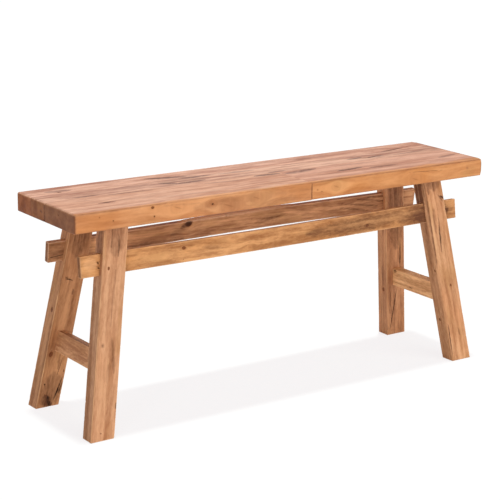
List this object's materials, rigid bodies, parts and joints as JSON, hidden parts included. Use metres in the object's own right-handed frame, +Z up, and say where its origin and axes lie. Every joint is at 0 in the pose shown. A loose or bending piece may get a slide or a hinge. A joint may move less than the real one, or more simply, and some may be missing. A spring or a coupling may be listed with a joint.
{
  "type": "backless rustic bench",
  "caption": "Backless bench with a plank seat on splayed, tenoned legs, tied by through stretchers and low end rails, in reclaimed timber.",
  "frame": {"origin": "on the floor under the middle of the seat", "axes": "+X along the bench to the right as seen from the front, +Y to the rear, +Z up"},
  "size_m": [1.014, 0.2598, 0.45],
  "materials": {
    "seat_timber": "worn reclaimed timber, thin matt wax",
    "leg_timber": "worn reclaimed timber, thin matt wax",
    "stretcher_timber": "worn reclaimed timber, thin matt wax",
    "rail_timber": "worn reclaimed timber, thin matt wax",
    "dowel_timber": "plain hardwood, unfinished"
  },
  "bodies": {
    "root": {"seat_board_rear": "seat_timber", "seat_board_middle": "seat_timber", "seat_board_front_left": "seat_timber", "seat_board_front_right": "seat_timber", "leg_front_left": "leg_timber", "leg_front_right": "leg_timber", "leg_rear_left": "leg_timber", "leg_rear_right": "leg_timber", "stretcher_front": "stretcher_timber", "stretcher_rear": "stretcher_timber", "end_rail_left": "rail_timber", "end_rail_right": "rail_timber", "seam_dowels_front": "dowel_timber", "seam_dowels_rear": "dowel_timber", "butt_dowels": "dowel_timber"}
  },
  "joints": []
}
